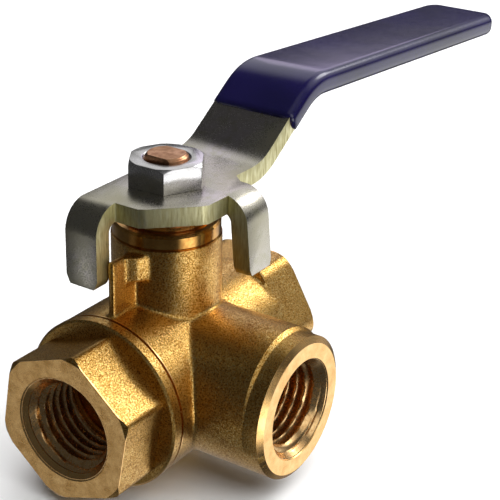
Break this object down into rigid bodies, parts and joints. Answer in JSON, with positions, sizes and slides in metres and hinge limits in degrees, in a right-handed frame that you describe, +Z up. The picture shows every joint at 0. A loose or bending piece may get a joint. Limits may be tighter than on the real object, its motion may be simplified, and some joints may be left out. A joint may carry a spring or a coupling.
{
  "type": "three way ball valve",
  "caption": "Three way brass ball valve with female threaded ports, an L-bored ball and a cranked steel lever with a dipped vinyl grip.",
  "frame": {"origin": "on the axis of the common branch port, at the plane where its thread starts, 0.8 mm inside the port's face", "axes": "+Z up along the stem, +X along the run from the end cap port to the far port and along the lever at rest, -Y out of the common branch port"},
  "size_m": [0.1165, 0.0355, 0.0502],
  "materials": {
    "brass": "sandblasted forged brass with machined bands and faces",
    "steel": "zinc plated and yellow passivated",
    "vinyl": "glossy dipped vinyl",
    "chrome": "polished",
    "ptfe": "turned PTFE",
    "rubber": "moulded"
  },
  "bodies": {
    "valve_body": {"body": "brass", "end_cap": "brass", "cap_gasket": "ptfe", "seat_cap_side": "ptfe", "seat_body_side": "ptfe", "thrust_washer": "ptfe", "packing_base": "ptfe", "packing_ring_lower": "ptfe", "packing_ring_middle": "ptfe", "packing_ring_upper": "ptfe", "packing_head": "ptfe", "gland_follower": "brass", "gland_nut": "brass"},
    "lever": {"handle": "steel", "grip": "vinyl", "handle_nut": "steel", "stem": "brass", "stem_oring_lower": "rubber", "stem_oring_upper": "rubber"},
    "ball_turn": {"ball": "chrome"}
  },
  "joints": [
    {"name": "lever_turn", "type": "hinge", "parent": "valve_body", "child": "lever", "pos_m": [0, 0.02215, 0], "axis": [0, 0, 1], "range_deg": [-90, 0]},
    {"name": "ball_spin", "type": "hinge", "parent": "valve_body", "child": "ball_turn", "pos_m": [0, 0.02215, 0], "axis": [0, 0, 1], "range_deg": [-90, 0]}
  ],
  "couplings": [
    {"joint": "ball_spin", "follows": "lever_turn", "ratio": 1}
  ]
}
